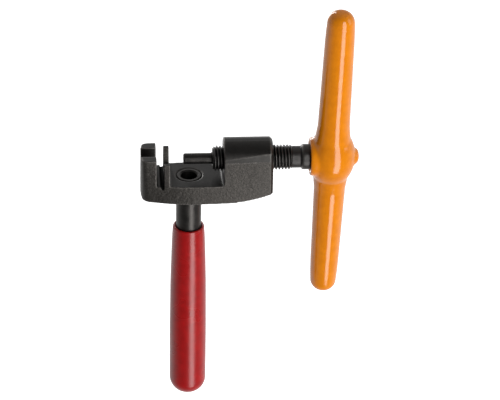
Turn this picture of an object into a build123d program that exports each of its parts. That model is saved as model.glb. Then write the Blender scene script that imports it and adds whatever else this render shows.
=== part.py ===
"""Screw-type bicycle chain tool.

Millimetres, +Z up. The origin is the centre of the chain roller in the cradle: the spindle's
axis is the X axis, and the plane X = 0 halves the tooth wall. The spindle drives its pin
towards -X, into the chain, against the anvil. The handle hangs straight down, along -Z.
"""

from build123d import *
import math
import os

os.makedirs("parts", exist_ok=True)

# Chain: half-inch pitch, rollers under 8 mm, rivets under 4 mm.
roller_seat_radius = 4.0
wall_thickness = 1.75
chain_gap = 2.35

# Head, along X.
anvil_thickness = 4.95
handle_x = 7.0
boss_start = 17.7
boss_end = 33.0
# Head, heights.
underside_z = -11.5
underside_end_z = -9.6
underside_bend_x = 18.5
recess_floor_z = -5.8
slot_floor_z = -6.1
wall_groove_width = 1.0
wall_groove_depth = 0.75
anvil_top_z = 2.5
tooth_top_z = 1.2
draft_top_z = 6.5
# Head, half widths: at the underside and at the height where the drafted sides are measured.
belly_x = 8.0
belly_half = (9.1, 5.45)
end_half = (6.8, 4.9)
nose_half = (4.3, 4.5)
corner_half = (6.9, 5.46)
corner_length = (2.4, 1.1)
nose_sag = 0.35
boss_crown_radius = 6.65
boss_crown_drop = 0.1
boss_end_chamfer = 0.8
rivet_slot_radius = 2.65
tooth_flank_half = 5.1
tooth_flank_z = -1.0
root_fillet = 0.9
wall_fillet = 0.5

# Handle.
rod_radius = 4.0
rod_bottom_z = -84.5
rod_eye_radius = 2.6
rod_eye_depth = 4.5
rod_end_chamfer = 0.3
floor_countersink = 0.35
grip_rim_z = -24.2
grip_rim_radius = 4.95
grip_belly_radius = 5.9
grip_middle_bulge = 0.78
grip_belly_z = -76.0
grip_bottom_z = -88.0
grip_end_radius = 5.2
grip_rim_round = 0.55

# Spindle: M8 x 1, and its plain parts.
thread_major_radius = 3.95
thread_minor_radius = 3.38
thread_pitch = 1.0
thread_bore_radius = 4.05
spindle_nose_x = 14.25
thread_end_x = 38.9
relief_radius = 3.45
collar_start_x = 42.05
collar_end_x = 47.6
collar_radius = 4.0
nose_chamfer = 0.75
tail_square = 4.6
tail_head_radius = 3.2
tail_head_height = 1.1

# Pin, held in the spindle's nose by a split ring.
pin_radius = 1.7
pin_tip_x = 5.2
pin_bore_depth = 9.0
pin_tip_chamfer = 0.35
pin_shank_radius = 1.9
pin_shoulder_x = 13.95
pin_bore_radius = 1.95
pin_end_gap = 0.03
ring_groove_radius = 1.5
ring_outer_radius = 1.93
ring_width = 0.6
ring_x = 20.4
ring_gap = 0.5

# Tee: a forged bar with an eye, at the angle where it was left.
tee_x = 51.6
tee_angle = 7.2
tee_skew = 0.3
tee_half_length = 53.8
dip_thickness = 1.05
tee_root_radius = 4.95
tee_neck_radius = 4.5
tee_tip_length = 12.0
tee_tip_radius = 3.9
tee_taper_start = 12.0
tee_bulge_radius = 7.35
tee_shoulder = 7.0
tee_end_round = 3.6
hub_radius = 6.05
hub_lip_x = 44.4
hub_steel_start = 46.5
hub_steel_end = 56.8
hub_steel_radius = 5.2
hub_steel_taper = 2.2
hub_dish_x = 45.9
nub_reach = 60.1
nub_radius = 2.7

anvil_face_x = -wall_thickness / 2 - chain_gap
nose_x = anvil_face_x - anvil_thickness
FAR = 30.0

along_x = Rotation(0, 90, 0)


def rod_x(radius, start, end):
    """A cylinder about the X axis, from start to end."""
    bar = along_x * Cylinder(radius, end - start)
    return Pos((start + end) / 2, 0, 0) * bar


def turned_x(points):
    """A solid of revolution about the X axis, from an outline of (x, radius) points."""
    outline = Polyline(*[(x, radius, 0) for x, radius in points], close=True)
    return revolve(make_face(outline), Axis.X)


def slab(x0, x1, z0, z1, half_y=FAR):
    """A block between two X and two Z values, centred in Y."""
    return Pos((x0 + x1) / 2, 0, (z0 + z1) / 2) * Box(x1 - x0, 2 * half_y, z1 - z0)


def plan_outline(level):
    """The head's outline from above at one end of its drafted sides, as a face in XY."""
    nose = nose_half[level]
    corner = corner_half[level]
    start = (nose_x + nose_sag, nose)
    turn = (nose_x + nose_sag + corner_length[level], corner)
    belly = (belly_x, belly_half[level])
    with BuildSketch() as sketch:
        with BuildLine():
            nose_arc = ThreePointArc((start[0], -nose), (nose_x, 0), start)
            corner_arc = TangentArc(start, turn, tangent=nose_arc % 1)
            side = TangentArc(turn, belly, tangent=corner_arc % 1)
            rear = TangentArc(belly, (boss_end, end_half[level]), tangent=(1, 0))
            mirror(corner_arc, about=Plane.XZ)
            mirror(side, about=Plane.XZ)
            mirror(rear, about=Plane.XZ)
            Line((boss_end, -end_half[level]), (boss_end, end_half[level]))
        make_face()
    return sketch.sketch


def drafted_block():
    """The head's raw forging: the outline at the underside, drawn in towards the top."""
    low = Pos(0, 0, underside_z) * plan_outline(0)
    high = Pos(0, 0, draft_top_z) * plan_outline(1)
    return loft([low, high], ruled=True)


def side_profile():
    """The head from the side: anvil, chain gap with a groove at the tooth wall, recess and boss."""
    half_wall = wall_thickness / 2
    with BuildPart() as part:
        with BuildSketch(Plane.XZ):
            with BuildLine():
                Polyline(
                    (underside_bend_x, underside_z),
                    (nose_x - 1, underside_z),
                    (nose_x - 1, anvil_top_z),
                    (anvil_face_x, anvil_top_z),
                    (anvil_face_x, slot_floor_z),
                    (-half_wall - wall_groove_width, slot_floor_z),
                    (-half_wall - wall_groove_width, slot_floor_z - wall_groove_depth),
                    (-half_wall, slot_floor_z - wall_groove_depth),
                    (-half_wall, tooth_top_z),
                    (half_wall, tooth_top_z),
                    (half_wall, recess_floor_z),
                    (boss_start, recess_floor_z),
                    (boss_start, draft_top_z),
                    (boss_end + 1, draft_top_z),
                    (boss_end + 1, underside_end_z),
                    (boss_end, underside_end_z),
                )
                TangentArc(
                    (underside_bend_x, underside_z), (boss_end, underside_end_z), tangent=(1, 0)
                )
            make_face()
        extrude(amount=FAR / 2, both=True)
    return part.part


def tooth_valley():
    """The roller's seat between the two teeth, with its flanks leaning out."""
    flank_y = math.sqrt(roller_seat_radius**2 - tooth_flank_z**2)
    opening = Polygon(
        (-flank_y, tooth_flank_z),
        (flank_y, tooth_flank_z),
        (tooth_flank_half, tooth_top_z),
        (tooth_flank_half, draft_top_z),
        (-tooth_flank_half, draft_top_z),
        (-tooth_flank_half, tooth_top_z),
        align=None,
    )
    section = Circle(roller_seat_radius) + opening
    cut = extrude(Plane.YZ * section, amount=wall_thickness, both=True)
    return cut


def rivet_slot():
    """The anvil's slot, through which a rivet leaves the chain: a half round, open upwards."""
    section = Circle(rivet_slot_radius)
    section += Pos(0, FAR / 2) * Rectangle(2 * rivet_slot_radius, FAR)
    return Pos(nose_x - 1, 0, 0) * extrude(Plane.YZ * section, amount=anvil_thickness + 1)


def make_head_body():
    """The forged head, with its machined recess, slots, bores and crown."""
    body = drafted_block() & side_profile()
    outside_crown = slab(boss_start - 1, boss_end + 1, 0, draft_top_z + 1)
    crown = Pos(0, 0, -boss_crown_drop) * rod_x(boss_crown_radius, boss_start - 2, boss_end + 2)
    body -= outside_crown - crown
    body -= tooth_valley()
    body -= rivet_slot()
    end_rim = [
        edge
        for edge in body.edges()
        if edge.bounding_box().min.X > boss_end - 0.01 and edge.center().Z > recess_floor_z
    ]
    body = chamfer(end_rim, boss_end_chamfer)
    root = [
        edge
        for edge in body.edges().filter_by(Axis.Y)
        if abs(edge.center().X - boss_start) < 0.01 and abs(edge.center().Z - recess_floor_z) < 0.01
    ]
    body = fillet(root, root_fillet)
    wall_root = [
        edge
        for edge in body.edges().filter_by(Axis.Y)
        if abs(edge.center().X - wall_thickness / 2) < 0.01
        and abs(edge.center().Z - recess_floor_z) < 0.01
    ]
    body = fillet(wall_root, wall_fillet)
    # Spindle bore and the handle's hole, each with a small countersink.
    body -= rod_x(thread_bore_radius, boss_start - 1, boss_end + 1)
    lead = 0.5
    for face_x, inward in ((boss_start, 1), (boss_end, -1)):
        body -= turned_x(
            [
                (face_x - inward * 0.2, 0),
                (face_x - inward * 0.2, thread_bore_radius + lead + 0.2),
                (face_x + inward * lead, thread_bore_radius),
                (face_x + inward * lead, 0),
            ]
        )
    hole_height = recess_floor_z - underside_z + 2
    body -= Pos(handle_x, 0, (recess_floor_z + underside_z) / 2) * Cylinder(rod_radius, hole_height)
    body -= Pos(handle_x, 0, recess_floor_z - floor_countersink / 2) * Cone(
        rod_radius, rod_radius + floor_countersink, floor_countersink
    )
    return body


def make_handle_rod():
    """The round bar pressed into the head, its upper end drilled and flush with the recess."""
    length = recess_floor_z - rod_bottom_z
    bar = Pos(handle_x, 0, (recess_floor_z + rod_bottom_z) / 2) * Cylinder(rod_radius, length)
    bar = chamfer(bar.edges().group_by(Axis.Z)[-1], rod_end_chamfer)
    bar = fillet(bar.edges().group_by(Axis.Z)[0], 1.5)
    eye = Pos(handle_x, 0, recess_floor_z - rod_eye_depth / 2) * Cylinder(rod_eye_radius, rod_eye_depth)
    mouth = Pos(handle_x, 0, recess_floor_z - 0.2) * Cone(rod_eye_radius, rod_eye_radius + 0.4, 0.4)
    return bar - eye - mouth


def make_handle_grip(rod):
    """The soft dip on the handle: slim at its rim, fuller below, with a rounded end."""
    with BuildPart() as part:
        with BuildSketch(Plane.XZ) as sketch:
            with BuildLine():
                belly = (grip_belly_radius, grip_belly_z)
                Line((0, grip_rim_z), (grip_rim_radius, grip_rim_z))
                ThreePointArc(
                    (grip_rim_radius, grip_rim_z),
                    (grip_rim_radius + grip_middle_bulge, (grip_rim_z + grip_belly_z) / 2),
                    belly,
                )
                Line(belly, (grip_belly_radius, grip_bottom_z))
                Line((grip_belly_radius, grip_bottom_z), (0, grip_bottom_z))
                Line((0, grip_bottom_z), (0, grip_rim_z))
            make_face()
        revolve(axis=Axis.Z)
        fillet(part.edges().group_by(Axis.Z)[-1], grip_rim_round)
        fillet(part.edges().group_by(Axis.Z)[0], grip_end_radius)
    return Pos(handle_x, 0, 0) * part.part - rod


def thread_outline():
    """The thread's outline as (x, radius) points: one V groove for each pitch, nose to relief."""
    crest_flat = 0.16
    root_flat = 0.2
    turns = round((thread_end_x - spindle_nose_x - nose_chamfer) / thread_pitch)
    flank = (thread_pitch - crest_flat - root_flat) / 2
    points = []
    for turn in range(turns):
        x = thread_end_x - (turns - turn) * thread_pitch
        points.append((x, thread_major_radius))
        points.append((x + crest_flat, thread_major_radius))
        points.append((x + crest_flat + flank, thread_minor_radius))
        points.append((x + crest_flat + flank + root_flat, thread_minor_radius))
    return points


def make_spindle():
    """The threaded spindle: nose, thread, relief, collar, square tail and riveted end."""
    nose = [
        (spindle_nose_x, 0),
        (spindle_nose_x, thread_major_radius - nose_chamfer),
        (spindle_nose_x + 0.55, thread_major_radius - 0.2),
    ]
    rear = [
        (thread_end_x, relief_radius),
        (collar_start_x, relief_radius),
        (collar_start_x, collar_radius - 0.3),
        (collar_start_x + 0.3, collar_radius),
        (collar_end_x, collar_radius),
        (collar_end_x, 0),
    ]
    body = turned_x(nose + thread_outline() + rear)
    tail_length = hub_steel_end - collar_end_x
    tail = Pos(collar_end_x + tail_length / 2, 0, 0) * Box(tail_length, tail_square, tail_square)
    body += Rotation(tee_angle, 0, 0) * tail
    body += turned_x(
        [
            (hub_steel_end, 0),
            (hub_steel_end, tail_head_radius),
            (hub_steel_end + 0.45 * tail_head_height, tail_head_radius * 0.88),
            (hub_steel_end + tail_head_height, tail_head_radius * 0.4),
            (hub_steel_end + tail_head_height, 0),
        ]
    )
    bore_end = spindle_nose_x + pin_bore_depth
    body -= rod_x(pin_bore_radius, spindle_nose_x - 1, bore_end)
    body -= turned_x(
        [
            (spindle_nose_x - 0.1, 0),
            (spindle_nose_x - 0.1, pin_bore_radius + 0.35),
            (spindle_nose_x + 0.25, pin_bore_radius),
            (spindle_nose_x + 0.25, 0),
        ]
    )
    return body


def make_driving_pin():
    """The hardened pin: a chamfered free end, and a thicker shank with a groove for its ring."""
    pin_end = spindle_nose_x + pin_bore_depth - pin_end_gap
    pin = rod_x(pin_radius, pin_tip_x, pin_shoulder_x)
    pin = chamfer(pin.edges().filter_by(GeomType.CIRCLE).sort_by(Axis.X)[0], pin_tip_chamfer)
    shank = rod_x(pin_shank_radius, pin_shoulder_x, pin_end)
    pin += chamfer(shank.edges().filter_by(GeomType.CIRCLE).sort_by(Axis.X)[-1], pin_tip_chamfer)
    groove = rod_x(pin_shank_radius + 1, ring_x, ring_x + ring_width)
    groove -= rod_x(ring_groove_radius, ring_x - 1, ring_x + ring_width + 1)
    return pin - groove


def make_pin_ring():
    """The split ring that grips the bore and keeps the pin from falling out."""
    ring = rod_x(ring_outer_radius, ring_x, ring_x + ring_width)
    ring -= rod_x(ring_groove_radius, ring_x - 1, ring_x + ring_width + 1)
    split = Pos(ring_x + ring_width / 2, 0, -ring_outer_radius) * Box(
        2 * ring_width, ring_gap, 2 * ring_outer_radius
    )
    return ring - split


def arms(shrink):
    """Both arms of the tee as one turned bar about its own axis, smaller all over by shrink."""
    half_length = tee_half_length - shrink
    root = tee_root_radius - shrink
    neck = tee_neck_radius - shrink
    tip = tee_tip_radius - shrink
    bulge = tee_bulge_radius - shrink
    shoulder = (root + 0.55, tee_shoulder)
    tip_start = tee_half_length - tee_tip_length
    with BuildPart() as part:
        with BuildSketch(Plane.XZ):
            with BuildLine():
                ThreePointArc((shoulder[0], -shoulder[1]), (bulge, 0), shoulder)
                for side in (1, -1):
                    Line((shoulder[0], side * shoulder[1]), (root, side * tee_taper_start))
                    Line((root, side * tee_taper_start), (neck, side * tip_start))
                    TangentArc(
                        (neck, side * tip_start),
                        (tip, side * half_length),
                        tangent=(neck - root, side * (tip_start - tee_taper_start)),
                    )
                    Line((tip, side * half_length), (0, side * half_length))
                Line((0, -half_length), (0, half_length))
            make_face()
        revolve(axis=Axis.Z)
        ends = part.edges().group_by(Axis.Z)
        fillet(ends[-1] + ends[0], tee_end_round - shrink)
    return Pos(tee_x, 0, 0) * Rotation(tee_angle, 0, 0) * Rotation(0, tee_skew, 0) * part.part


def make_tee_bar():
    """The forged steel tee: two arms and the eye that the spindle's tail is riveted through."""
    eye = turned_x(
        [
            (hub_steel_start, 0),
            (hub_steel_start, hub_steel_radius - 0.3),
            (hub_steel_start + 0.3, hub_steel_radius),
            (hub_steel_end - hub_steel_taper, hub_steel_radius),
            (hub_steel_end, tail_head_radius),
            (hub_steel_end, 0),
        ]
    )
    bar = arms(dip_thickness) & slab(hub_steel_start, hub_steel_end, -FAR * 3, FAR * 3)
    bar += eye
    bar -= rod_x(collar_radius, hub_steel_start - 1, collar_end_x)
    hole_length = 2 * (hub_steel_end - collar_end_x)
    bar -= Rotation(tee_angle, 0, 0) * (
        Pos(hub_steel_end - 0.001, 0, 0) * Box(hole_length, tail_square, tail_square)
    )
    return bar


def make_tee_grip(spindle, bar):
    """The thick glossy dip over the tee, with a dished lip round the spindle's collar."""
    hub = turned_x(
        [
            (hub_lip_x, 0),
            (hub_lip_x, hub_radius - 0.75),
            (hub_lip_x + 0.25, hub_radius - 0.3),
            (hub_lip_x + 0.95, hub_radius),
            (tee_x, hub_radius),
            (tee_x, 0),
        ]
    )
    nub = turned_x(
        [
            (tee_x, 0),
            (tee_x, nub_radius),
            (nub_reach - 1.2, nub_radius),
            (nub_reach - 0.5, 0.8 * nub_radius),
            (nub_reach - 0.12, 0.5 * nub_radius),
            (nub_reach, 0.2 * nub_radius),
            (nub_reach, 0),
        ]
    )
    dip = arms(0) + hub + nub
    dish_reach = 3.0
    dish = turned_x(
        [
            (hub_dish_x - dish_reach, 0),
            (hub_dish_x - dish_reach, collar_radius + dish_reach),
            (hub_dish_x, collar_radius),
            (hub_dish_x, 0),
        ]
    )
    return dip - dish - bar - spindle


def main():
    """Build every piece and write one STEP file for each."""
    rod = make_handle_rod()
    spindle = make_spindle()
    bar = make_tee_bar()
    pieces = {
        "head_body": make_head_body(),
        "handle_rod": rod,
        "handle_grip": make_handle_grip(rod),
        "spindle": spindle,
        "driving_pin": make_driving_pin(),
        "pin_ring": make_pin_ring(),
        "tee_bar": bar,
        "tee_grip": make_tee_grip(spindle, bar),
    }
    for name, solid in pieces.items():
        solid.label = name
        export_step(solid, f"parts/{name}.step")


main()
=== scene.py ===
"""A screw-type chain tool: finished surfaces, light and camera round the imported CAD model.

Sizes are in millimetres, times MM where Blender takes metres, and places are in the CAD's frame.
"""

import math

import bmesh
import bpy
import numpy as np
from mathutils import Matrix, Vector, noise


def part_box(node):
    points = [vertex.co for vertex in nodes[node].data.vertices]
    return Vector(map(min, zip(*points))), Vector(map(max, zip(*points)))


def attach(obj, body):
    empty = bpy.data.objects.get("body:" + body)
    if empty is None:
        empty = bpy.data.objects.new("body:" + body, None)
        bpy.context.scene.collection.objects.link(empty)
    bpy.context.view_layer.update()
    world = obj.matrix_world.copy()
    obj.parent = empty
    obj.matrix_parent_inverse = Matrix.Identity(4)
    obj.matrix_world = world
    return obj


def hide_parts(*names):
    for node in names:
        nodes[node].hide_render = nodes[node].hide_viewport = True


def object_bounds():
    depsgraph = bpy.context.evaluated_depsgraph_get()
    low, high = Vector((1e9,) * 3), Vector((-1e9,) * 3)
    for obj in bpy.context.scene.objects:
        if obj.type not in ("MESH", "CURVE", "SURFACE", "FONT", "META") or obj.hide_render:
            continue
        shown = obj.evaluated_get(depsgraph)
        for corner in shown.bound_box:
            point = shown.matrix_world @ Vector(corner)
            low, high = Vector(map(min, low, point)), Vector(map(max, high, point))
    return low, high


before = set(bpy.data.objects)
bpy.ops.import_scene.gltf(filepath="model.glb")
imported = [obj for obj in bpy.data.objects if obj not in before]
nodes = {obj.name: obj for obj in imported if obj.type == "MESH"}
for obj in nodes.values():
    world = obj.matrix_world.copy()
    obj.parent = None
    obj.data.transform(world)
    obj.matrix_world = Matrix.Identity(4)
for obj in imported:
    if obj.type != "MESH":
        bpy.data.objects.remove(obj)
cad_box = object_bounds()
scene = bpy.context.scene
MM = 0.001


# ---- meshes ----


def add_object(name, mesh):
    piece = bpy.data.objects.new(name, mesh)
    scene.collection.objects.link(piece)
    return piece


def set_smooth(mesh):
    mesh.polygons.foreach_set("use_smooth", [True] * len(mesh.polygons))


def turned(name, along, radius, axis, centre=(0, 0, 0)):
    """A closed surface of rings about the X or Z axis.

    along holds each ring's place in mm; radius is an array in mm, one row for each ring and
    one column for each segment.
    """
    segments = radius.shape[1]
    angles = np.arange(segments) / segments * math.tau
    along = np.repeat(np.asarray(along, float)[:, None], segments, axis=1)
    first = radius * np.cos(angles)
    second = radius * np.sin(angles)
    columns = (along, first, second) if axis == "X" else (first, second, along)
    points = (np.stack(columns, axis=-1).reshape(-1, 3) + np.array(centre)) * MM
    rings = len(along)
    faces = []
    for ring in range(rings - 1):
        for segment in range(segments):
            following = (segment + 1) % segments
            low = ring * segments
            high = low + segments
            faces.append((low + segment, low + following, high + following, high + segment))
    faces.append(tuple(range(segments - 1, -1, -1)))
    faces.append(tuple(range((rings - 1) * segments, rings * segments)))
    mesh = bpy.data.meshes.new(name)
    mesh.from_pydata(points.tolist(), [], faces)
    bm = bmesh.new()
    bm.from_mesh(mesh)
    bmesh.ops.recalc_face_normals(bm, faces=bm.faces)
    bm.to_mesh(mesh)
    bm.free()
    set_smooth(mesh)
    return add_object(name, mesh)


def outline_rings(points, step):
    """(along, radius) rings that follow a chain of straight runs, with no run longer than step."""
    rings = [points[0]]
    for start, end in zip(points, points[1:]):
        count = max(1, math.ceil(math.dist(start, end) / step))
        for part in range(1, count + 1):
            share = part / count
            rings.append(tuple(a + (b - a) * share for a, b in zip(start, end)))
    return rings


def softened_copy(name, node, voxel, passes, swell=0.0):
    """A CAD node's shape as an even net of quads, its edges rounded over.

    swell, in mm, gives back what the smoothing takes off a slim piece all over.
    """
    bm = bmesh.new()
    bm.from_mesh(nodes[node].data)
    bmesh.ops.remove_doubles(bm, verts=bm.verts, dist=1e-7)
    mesh = bpy.data.meshes.new(name)
    bm.to_mesh(mesh)
    bm.free()
    piece = add_object(name, mesh)
    net = piece.modifiers.new("net", "REMESH")
    net.mode = "VOXEL"
    net.voxel_size = voxel * MM
    soft = piece.modifiers.new("soft", "SMOOTH")
    soft.factor = 0.5
    soft.iterations = passes
    depsgraph = bpy.context.evaluated_depsgraph_get()
    finished = bpy.data.meshes.new_from_object(piece.evaluated_get(depsgraph))
    piece.modifiers.clear()
    piece.data = finished
    set_smooth(finished)
    if swell:
        places, normals = read_vertices(finished)
        finished.vertices.foreach_set("co", (places + normals * swell * MM).ravel())
        finished.update()
    return piece


def read_vertices(mesh):
    """Every vertex's place, in metres, and its normal, as two arrays of rows."""
    places = np.empty(len(mesh.vertices) * 3)
    mesh.vertices.foreach_get("co", places)
    normals = np.empty(len(mesh.vertices) * 3)
    mesh.vertices.foreach_get("normal", normals)
    return places.reshape(-1, 3), normals.reshape(-1, 3)


def write_share(mesh, name, values):
    """Stores a value from 0 to 1 at each vertex, which a material reads by name."""
    attribute = mesh.attributes.new(name, "FLOAT", "POINT")
    attribute.data.foreach_set("value", np.clip(values, 0, 1).astype(np.float32))


def edge_share(mesh, full):
    """How sharply the surface turns outwards at each vertex: 1 where it stands full mm proud."""
    places, normals = read_vertices(mesh)
    pairs = np.empty(len(mesh.edges) * 2, np.int64)
    mesh.edges.foreach_get("vertices", pairs)
    pairs = pairs.reshape(-1, 2)
    total = np.zeros_like(places)
    count = np.zeros(len(places))
    for here, there in ((0, 1), (1, 0)):
        np.add.at(total, pairs[:, here], places[pairs[:, there]])
        np.add.at(count, pairs[:, here], 1)
    mean = total / np.maximum(count, 1)[:, None]
    proud = np.einsum("ij,ij->i", places - mean, normals)
    return np.clip(proud / (full * MM), 0, 1)


def smooth_step(values, low, high):
    """0 below low and 1 above high, with a soft ramp between them."""
    share = np.clip((values - low) / (high - low), 0, 1)
    return share * share * (3 - 2 * share)


# ---- materials ----


class Surface:
    """A Principled material under construction, with short names for the nodes it uses."""

    def __init__(self, name):
        self.material = bpy.data.materials.new(name)
        self.material.use_nodes = True
        self.tree = self.material.node_tree
        self.tree.nodes.clear()
        self.shader = self.tree.nodes.new("ShaderNodeBsdfPrincipled")
        output = self.tree.nodes.new("ShaderNodeOutputMaterial")
        self.tree.links.new(self.shader.outputs[0], output.inputs["Surface"])
        self.place = self.tree.nodes.new("ShaderNodeTexCoord").outputs["Object"]

    def connect(self, source, socket):
        if hasattr(source, "is_output"):
            self.tree.links.new(source, socket)
        else:
            socket.default_value = source

    def noise(self, scale, detail=4.0, rough=0.55, stretch=(1, 1, 1)):
        """Noise from 0 to 1, fixed to the tool; scale counts its features in a metre."""
        mapping = self.tree.nodes.new("ShaderNodeMapping")
        mapping.inputs["Scale"].default_value = stretch
        self.connect(self.place, mapping.inputs["Vector"])
        texture = self.tree.nodes.new("ShaderNodeTexNoise")
        texture.inputs["Scale"].default_value = scale
        texture.inputs["Detail"].default_value = detail
        texture.inputs["Roughness"].default_value = rough
        self.connect(mapping.outputs[0], texture.inputs["Vector"])
        return texture.outputs["Fac"]

    def cells(self, scale):
        """Distance to the nearest of many scattered points."""
        texture = self.tree.nodes.new("ShaderNodeTexVoronoi")
        texture.inputs["Scale"].default_value = scale
        self.connect(self.place, texture.inputs["Vector"])
        return texture.outputs["Distance"]

    def share(self, name):
        """A value that write_share stored on the mesh."""
        attribute = self.tree.nodes.new("ShaderNodeAttribute")
        attribute.attribute_name = name
        return attribute.outputs["Fac"]

    def between(self, value, low, high, from_low=0.0, from_high=1.0):
        """value's range from_low..from_high laid onto low..high."""
        node = self.tree.nodes.new("ShaderNodeMapRange")
        self.connect(value, node.inputs["Value"])
        node.inputs["From Min"].default_value = from_low
        node.inputs["From Max"].default_value = from_high
        self.connect(low, node.inputs["To Min"])
        self.connect(high, node.inputs["To Max"])
        return node.outputs["Result"]

    def times(self, first, second):
        node = self.tree.nodes.new("ShaderNodeMath")
        node.operation = "MULTIPLY"
        self.connect(first, node.inputs[0])
        self.connect(second, node.inputs[1])
        return node.outputs[0]

    def blend(self, first, second, share):
        """The first colour where share is 0 and the second where it is 1."""
        node = self.tree.nodes.new("ShaderNodeMix")
        node.data_type = "RGBA"
        self.connect(share, node.inputs["Factor"])
        colours = [socket for socket in node.inputs if socket.type == "RGBA"]
        for colour, socket in zip((first, second), colours):
            if hasattr(colour, "is_output"):
                self.tree.links.new(colour, socket)
            else:
                socket.default_value = (*colour, 1)
        return next(socket for socket in node.outputs if socket.type == "RGBA")

    def bump(self, height, depth, strength=1.0):
        """Adds relief, depth mm from the lowest to the highest, over what is there already."""
        node = self.tree.nodes.new("ShaderNodeBump")
        self.connect(strength, node.inputs["Strength"])
        node.inputs["Distance"].default_value = depth * MM
        self.connect(height, node.inputs["Height"])
        normal = self.shader.inputs["Normal"]
        if normal.is_linked:
            self.tree.links.new(normal.links[0].from_socket, node.inputs["Normal"])
        self.tree.links.new(node.outputs[0], normal)

    def set(self, **values):
        """Principled inputs by name, with _ for a space."""
        for key, value in values.items():
            self.connect(value, self.shader.inputs[key.replace("_", " ")])

    def colour(self, value):
        socket = self.shader.inputs["Base Color"]
        if hasattr(value, "is_output"):
            self.tree.links.new(value, socket)
        else:
            socket.default_value = (*value, 1)

    def dress(self, *pieces):
        for piece in pieces:
            piece.data.materials.clear()
            piece.data.materials.append(self.material)


def forged_steel():
    """Blackened forging: grainy skin outside, smoother cuts inside, edges worn brighter, and painted
    shade in the groove by the tooth wall.
    """
    surface = Surface("blackened_forging")
    skin = surface.share("skin")
    edge = surface.share("edge")
    grain = surface.noise(1500, detail=6, rough=0.65)
    blotch = surface.noise(260, detail=3)
    scale_pits = surface.cells(1300)
    fleck = surface.between(surface.noise(3200, detail=3, rough=0.8), 0, 1, 0.35, 0.72)
    black = surface.blend((0.026, 0.024, 0.022), (0.075, 0.068, 0.061), fleck)
    cut = surface.blend((0.018, 0.017, 0.016), (0.034, 0.032, 0.030), blotch)
    body = surface.blend(cut, black, skin)
    # Painted shade: the groove by the tooth wall is painted near black and made dull.
    painted_gap_shade = surface.share("painted_gap_shade")
    body = surface.blend(body, (0.006, 0.006, 0.005), painted_gap_shade)
    worn = surface.times(edge, surface.between(grain, 0.3, 1.0, 0.35, 0.65))
    surface.colour(surface.blend(body, (0.16, 0.15, 0.14), worn))
    rough_skin = surface.between(grain, 0.42, 0.62, 0.3, 0.7)
    rough_cut = surface.between(grain, 0.30, 0.42, 0.3, 0.7)
    surface.set(
        Metallic=0.75,
        Roughness=surface.between(painted_gap_shade, surface.between(skin, rough_cut, rough_skin), 0.9),
    )
    surface.bump(scale_pits, 0.10, surface.between(skin, 0.04, 0.55))
    surface.bump(grain, 0.10, surface.between(skin, 0.10, 0.9))
    return surface


def bar_steel(name, axis_stretch, dark, light, rough_low, rough_high, ring_depth):
    """Turned or drawn bar: fine lines round it, with dull and oily patches."""
    surface = Surface(name)
    lines = surface.noise(1.0, detail=5, rough=0.7, stretch=axis_stretch)
    patch = surface.noise(330, detail=3)
    surface.colour(surface.blend(dark, light, surface.times(lines, patch)))
    surface.set(
        Metallic=0.9,
        Roughness=surface.between(patch, rough_low, rough_high, 0.3, 0.7),
    )
    surface.bump(lines, ring_depth, 0.8)
    surface.bump(surface.noise(1400, detail=4), 0.02, 0.5)
    return surface


def dipped_plastic(name, deep, bright, rough_low, rough_high, wave_depth):
    """Dipped PVC: an even gloss with slow waves, faint mottling and small dust pits."""
    surface = Surface(name)
    mottle = surface.noise(420, detail=4)
    slow = surface.noise(70, detail=2)
    surface.colour(surface.blend(deep, bright, surface.between(mottle, 0, 1, 0.35, 0.65)))
    surface.set(
        Roughness=surface.between(slow, rough_low, rough_high, 0.35, 0.65),
        IOR=1.5,
    )
    surface.bump(slow, wave_depth, 0.5)
    surface.bump(surface.noise(2400, detail=3), 0.01, 0.35)
    return surface


# ---- the head ----


def skin_share(places, normals):
    """1 where the head keeps its forged skin: its sides, underside and nose, not its crown."""
    low, high = (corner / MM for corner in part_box("head_body"))
    crown_length = 15.8
    crown_height = 5.0
    slot_half = 2.6
    x, y, z = places.T / MM
    crown = (x > high.x - crown_length) & (z > high.z - crown_height)
    sides = smooth_step(np.abs(normals[:, 1]), 0.55, 0.85)
    sides *= smooth_step(np.abs(y), slot_half, slot_half + 0.4)
    underside = smooth_step(-normals[:, 2], 0.4, 0.8) * smooth_step(-z, -low.z - 2.9, -low.z - 2.5)
    nose = smooth_step(-normals[:, 0], 0.4, 0.8) * smooth_step(-x, -low.x - 0.875, -low.x - 0.575)
    return np.where(crown, 0, np.maximum(sides, np.maximum(underside, nose)))


def groove_share(places):
    """1 over the groove along the foot of the tooth wall, on the side of the chain gap."""
    nose_to_wall = 7.3
    groove_width = 1.2
    soft = 0.2
    x = places[:, 0] / MM
    wall_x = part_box("head_body")[0].x / MM + nose_to_wall
    start = wall_x - groove_width
    return smooth_step(x, start - soft, start) * smooth_step(-x, -wall_x - 0.15, -wall_x + 0.05)


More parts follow.
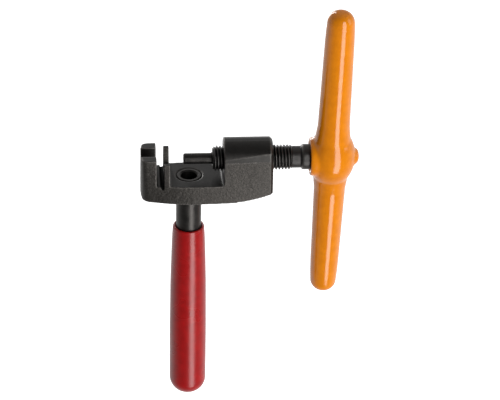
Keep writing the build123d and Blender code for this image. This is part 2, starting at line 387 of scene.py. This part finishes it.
def make_head():
    """The head's forging with soft edges, its forged skin uneven and its cuts left flat."""
    piece = softened_copy("head_forging", "head_body", voxel=0.2, passes=3)
    mesh = piece.data
    places, normals = read_vertices(mesh)
    z = places[:, 2] / MM
    skin = skin_share(places, normals)
    groove = groove_share(places)
    # Painted shade lies in the groove and on the wall above it, but not on the head's front face.
    painted_gap_shade = groove * np.maximum(smooth_step(-normals[:, 0], 0.3, 0.7), smooth_step(-z, 5.5, 6.0))
    painted_gap_shade *= normals[:, 1] > -0.5
    grain_depth = 0.035
    dent_depth = 0.10
    grain = np.array([noise.fractal(Vector(place) * 420, 0.9, 2.0, 3) for place in places])
    dents = np.array([noise.noise(Vector(place) * 130) for place in places])
    shift = (grain_depth * grain + dent_depth * dents) * MM * skin
    places += normals * shift[:, None]
    mesh.vertices.foreach_set("co", places.ravel())
    mesh.update()
    write_share(mesh, "skin", skin)
    write_share(mesh, "painted_gap_shade", painted_gap_shade)
    write_share(mesh, "edge", edge_share(mesh, 0.02) * (1 - groove * (z < -5)))
    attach(piece, "head")
    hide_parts("head_body")
    forged_steel().dress(piece)


# ---- the screw ----

THREAD_MAJOR = 3.95
THREAD_MINOR = 3.38
THREAD_PITCH = 1.0
THREAD_END = 38.9
NOSE_CHAMFER = 0.75
UNDERCUT = 3.45
COLLAR = 4.0
COLLAR_START = 42.05
COLLAR_END = 47.6


def thread_radius(x, nose, angles):
    """The radius round the spindle at x: ridge and groove, fading out at the undercut."""
    turn = x / THREAD_PITCH - angles / math.tau
    from_crest = np.abs(turn - np.floor(turn) - 0.5)
    ridge = smooth_step(0.43 - from_crest, 0.0, 0.34)
    fade = smooth_step(np.float64(THREAD_END - x), -0.35, 0.45)
    root = UNDERCUT + (THREAD_MINOR - UNDERCUT) * fade
    radius = root + (THREAD_MAJOR - THREAD_MINOR) * ridge * fade
    return np.minimum(radius, THREAD_MAJOR - NOSE_CHAMFER + (x - nose) * 1.1)


def screw_rings(angles):
    """The spindle's (place, radii) rings: pin bore, nose, thread, undercut, collar and tail."""
    low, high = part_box("spindle")
    nose = low.x / MM
    end = high.x / MM
    bore = 1.95
    bore_depth = 9.0
    steps_per_turn = 14
    tail_half = 2.3
    tail_turn = math.radians(7.2)
    head_start = end - 1.1

    def round_ring(x, radius):
        return x, np.full(len(angles), radius)

    rings = [
        round_ring(nose + bore_depth, bore),
        round_ring(nose + 0.25, bore),
        round_ring(nose, bore + 0.3),
        round_ring(nose, THREAD_MAJOR - NOSE_CHAMFER - 0.12),
    ]
    step = THREAD_PITCH / steps_per_turn
    for index in range(1, math.ceil((THREAD_END + 0.4 - nose) / step)):
        x = nose + index * step
        rings.append((x, thread_radius(x, nose, angles)))
    plain = [
        (THREAD_END + 0.5, UNDERCUT),
        (COLLAR_START - 0.1, UNDERCUT),
        (COLLAR_START, UNDERCUT + 0.1),
        (COLLAR_START, COLLAR - 0.3),
        (COLLAR_START + 0.08, COLLAR - 0.12),
        (COLLAR_START + 0.3, COLLAR),
        (COLLAR_END, COLLAR),
    ]
    for x, radius in outline_rings(plain, 0.6):
        rings.append(round_ring(x, radius))
    turned_by = angles - tail_turn
    square = tail_half / np.maximum(np.abs(np.cos(turned_by)), np.abs(np.sin(turned_by)))
    rings.append((COLLAR_END, square))
    rings.append((head_start, square))
    for x, radius in ((head_start, 3.2), (end - 0.6, 2.8), (end - 0.1, 1.5), (end, 0.5)):
        rings.append(round_ring(x, radius))
    return rings


def thread_steel():
    """Blackened turned steel: fine lines round it, painted shade in the thread's grooves and a
    painted highlight on its crests.
    """
    surface = Surface("blackened_thread")
    edge = surface.share("edge")
    patch = surface.noise(300, detail=3)
    lines = surface.noise(1.0, detail=5, rough=0.7, stretch=(5200, 320, 320))
    black = surface.blend((0.019, 0.018, 0.019), (0.046, 0.044, 0.043), patch)
    # Painted shade: the thread's grooves are painted near black towards the root.
    root_shaded = surface.blend(black, (0.004, 0.004, 0.004), surface.share("groove"))
    # Painted highlight: the proud crests and edges are painted lighter.
    surface.colour(surface.blend(root_shaded, (0.20, 0.19, 0.18), surface.times(edge, 0.5)))
    surface.set(Metallic=0.9, Roughness=surface.between(patch, 0.26, 0.42, 0.3, 0.7))
    surface.bump(lines, 0.02, 0.8)
    surface.bump(surface.noise(1500, detail=4), 0.02, 0.5)
    return surface


def make_screw():
    """The spindle with its right-hand thread, undercut, collar and square tail."""
    segments = 72
    rings = screw_rings(np.arange(segments) / segments * math.tau)
    along = [x for x, _ in rings]
    radii = np.array([radius for _, radius in rings])
    piece = turned("threaded_spindle", along, radii, "X")
    places, _ = read_vertices(piece.data)
    reach = np.hypot(places[:, 1], places[:, 2]) / MM
    in_thread = places[:, 0] / MM < THREAD_END
    # Painted shade for the thread's grooves, darker towards the root.
    write_share(piece.data, "groove", np.where(in_thread, smooth_step(-reach, -3.8, -3.45), 0))
    # Painted highlight on the proud crests and edges.
    write_share(piece.data, "edge", edge_share(piece.data, 0.02))
    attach(piece, "screw")
    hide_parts("spindle")
    thread_steel().dress(piece)


# ---- the dips ----


def make_tee_dip():
    """The tee's orange dip, its arms running softly into the hub."""
    piece = softened_copy("tee_dip", "tee_grip", voxel=0.35, passes=8, swell=0.06)
    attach(piece, "screw")
    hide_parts("tee_grip")
    surface = dipped_plastic(
        "orange_dip", (0.70, 0.205, 0.002), (0.77, 0.235, 0.003), 0.11, 0.15, 0.07
    )
    surface.dress(piece)


def handle_outline(top, bottom, bar_end, bore):
    """The red dip's (height, radius) outline: up its bore, over its rim and down its outside."""
    rim = 4.95
    rim_round = 0.5
    lip_height = 0.22
    belly = 5.9
    end_round = 5.2
    outline = [(bar_end - 0.02, bore - 1.5), (bar_end + 1.5, bore), (top - rim_round, bore)]
    outline += [(top - 0.12, bore + 0.12), (top, bore + 0.42)]
    for step in range(1, 7):
        angle = math.radians(15 * step)
        z = top - rim_round + rim_round * math.cos(angle)
        outline.append((z, rim - rim_round + rim_round * math.sin(angle)))
    start = top - 0.6
    shoulder = bottom + end_round
    steps = 59
    for step in range(1, steps + 1):
        share = step / steps
        z = start + (shoulder - start) * share
        swell = math.sin(min(share * 1.35, 1) * math.pi / 2)
        lip = lip_height * (1 - math.exp(-share * 26))
        outline.append((z, rim + lip + (belly - rim - lip_height) * swell))
    for step in range(1, 15):
        angle = math.radians(90 * step / 15)
        radius = belly - end_round * (1 - math.cos(angle))
        outline.append((shoulder - end_round * math.sin(angle), radius))
    outline += [(bottom, 0.5), (bottom, 0.1)]
    return outline


def make_handle_dip():
    """The handle's red dip: a rolled rim, a slow swell and a round end, open for the bar."""
    low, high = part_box("handle_grip")
    bar_low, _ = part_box("handle_rod")
    centre = (low + high) / 2 / MM
    bore = 4.02
    outline = handle_outline(high.z / MM, low.z / MM, bar_low.z / MM, bore)
    segments = 96
    angles = np.arange(segments) / segments * math.tau
    rows = []
    for z, radius in outline:
        swirl = noise.noise(Vector((z * 0.08, 3.1, 0.7))) * 0.05
        wave = 0.03 * np.sin(2 * angles + z * 0.11) + swirl
        rows.append(radius + wave * (radius > bore + 0.3))
    along = [z for z, _ in outline]
    piece = turned("handle_dip", along, np.array(rows), "Z", (centre.x, centre.y, 0))
    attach(piece, "head")
    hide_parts("handle_grip")
    surface = dipped_plastic(
        "red_dip", (0.29, 0.0025, 0.003), (0.36, 0.004, 0.0045), 0.26, 0.34, 0.07
    )
    surface.dress(piece)


# ---- the plain steel pieces, which keep their CAD shape ----


def dress_steel():
    """Drawn bar for the handle, dull forged bar for the tee, and ground steel for the pin."""
    bar = bar_steel(
        "handle_bar",
        (330, 330, 6000),
        (0.028, 0.026, 0.025),
        (0.11, 0.103, 0.096),
        0.30,
        0.46,
        0.02,
    )
    bar.dress(nodes["handle_rod"])
    tee = bar_steel(
        "tee_bar",
        (900, 900, 300),
        (0.035, 0.034, 0.033),
        (0.10, 0.10, 0.10),
        0.40,
        0.55,
        0.02,
    )
    tee.dress(nodes["tee_bar"])
    pin = bar_steel(
        "ground_pin",
        (7000, 500, 500),
        (0.025, 0.024, 0.023),
        (0.10, 0.094, 0.088),
        0.26,
        0.38,
        0.015,
    )
    pin.dress(nodes["driving_pin"], nodes["pin_ring"])


# ---- floor, light and camera ----


def make_floor():
    """A pale floor well below the tool, which casts no shadow and shows in no reflection."""
    half = 6.0
    steps = 24
    drop = 0.20
    low, _ = cad_box
    corners = [
        (-half + 2 * half * i / steps, -half + 2 * half * j / steps, low.z - drop)
        for i in range(steps + 1)
        for j in range(steps + 1)
    ]
    faces = []
    for i in range(steps):
        for j in range(steps):
            corner = i * (steps + 1) + j
            faces.append((corner, corner + steps + 1, corner + steps + 2, corner + 1))
    mesh = bpy.data.meshes.new("floor")
    mesh.from_pydata(corners, [], faces)
    floor = add_object("floor", mesh)
    surface = Surface("floor")
    surface.colour((0.93, 0.93, 0.93))
    surface.set(Roughness=0.9, Emission_Color=(1, 1, 1, 1), Emission_Strength=0.8)
    surface.bump(surface.noise(60, detail=2), 0.2, 0.1)
    surface.dress(floor)
    floor.visible_glossy = False
    floor.visible_diffuse = False
    floor.visible_shadow = False


def make_world():
    """White behind the tool and at its sides, and dark in front, as in a studio."""
    world = bpy.data.worlds.new("studio")
    world.use_nodes = True
    tree = world.node_tree
    background = tree.nodes["Background"]
    background.inputs["Color"].default_value = (1, 1, 1, 1)
    direction = tree.nodes.new("ShaderNodeTexCoord").outputs["Generated"]
    parts = tree.nodes.new("ShaderNodeSeparateXYZ")
    tree.links.new(direction, parts.inputs[0])

    def ramp(part, from_min, from_max, to_min, to_max):
        node = tree.nodes.new("ShaderNodeMapRange")
        node.interpolation_type = "SMOOTHSTEP"
        tree.links.new(parts.outputs[part], node.inputs["Value"])
        node.inputs["From Min"].default_value = from_min
        node.inputs["From Max"].default_value = from_max
        node.inputs["To Min"].default_value = to_min
        node.inputs["To Max"].default_value = to_max
        return node.outputs["Result"]

    strength = tree.nodes.new("ShaderNodeMath")
    strength.operation = "MULTIPLY"
    tree.links.new(ramp("Y", -0.6, 0.5, 0.12, 0.9), strength.inputs[0])
    tree.links.new(ramp("Z", -0.1, 0.6, 1.0, 0.5), strength.inputs[1])
    tree.links.new(strength.outputs[0], background.inputs["Strength"])
    scene.world = world


def direction_to(azimuth, elevation):
    """From the tool towards a place round it: azimuth 0 is in front, and 90 degrees at the right."""
    return Vector((
        math.sin(azimuth) * math.cos(elevation),
        -math.cos(azimuth) * math.cos(elevation),
        math.sin(elevation),
    ))


def softbox(name, azimuth, elevation, distance, width, height, power, target):
    """A rectangular light facing the target, sizes in metres and power in watts."""
    away = direction_to(math.radians(azimuth), math.radians(elevation))
    light = bpy.data.lights.new(name, "AREA")
    light.shape = "RECTANGLE"
    light.size = width
    light.size_y = height
    light.energy = power
    lamp = bpy.data.objects.new(name, light)
    scene.collection.objects.link(lamp)
    lamp.visible_camera = False
    lamp.location = target + away * distance
    lamp.rotation_mode = "QUATERNION"
    lamp.rotation_quaternion = (-away).to_track_quat("-Z", "Y")


def make_camera():
    """A long lens in front of the tool and above it, a little to the left."""
    azimuth = math.radians(-4.69)
    elevation = math.radians(31.33)
    roll = math.radians(-1.36)
    distance = 0.700
    aim_right = 18.98
    aim_down = 12.89
    away = direction_to(azimuth, elevation)
    right = Vector((math.cos(azimuth), math.sin(azimuth), 0))
    up = away.cross(right)
    level = math.cos(roll) * right - math.sin(roll) * up
    upward = math.sin(roll) * right + math.cos(roll) * up
    handle_x = sum(corner.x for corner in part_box("handle_rod")) / 2
    aim = Vector((handle_x, 0, 0)) + (aim_right * level - aim_down * upward) * MM
    camera = bpy.data.objects.new("camera", bpy.data.cameras.new("camera"))
    scene.collection.objects.link(camera)
    camera.data.lens = 162.0
    camera.data.sensor_width = 36.0
    camera.data.clip_start = 0.05
    camera.data.clip_end = 50.0
    turn = Matrix((level, upward, away)).transposed()
    camera.matrix_world = Matrix.Translation(aim + away * distance) @ turn.to_4x4()
    scene.camera = camera


def make_light():
    """A tall key light at the right, reaching below the horizon, and two slim ones round the tool."""
    lowest, highest = cad_box
    target = (lowest + highest) / 2
    softbox("key", 24, -8, 1.1, 0.50, 2.3, 20, target)
    softbox("right", 75, 20, 1.2, 0.5, 0.9, 2.5, target)
    softbox("rear", 196, 12, 1.2, 0.22, 1.2, 5, target)
    scene.view_settings.view_transform = "Standard"
    scene.view_settings.look = "None"
    scene.view_settings.exposure = 0.0


make_head()
make_screw()
make_tee_dip()
make_handle_dip()
dress_steel()
make_floor()
make_world()
make_light()
make_camera()

bpy.context.view_layer.update()
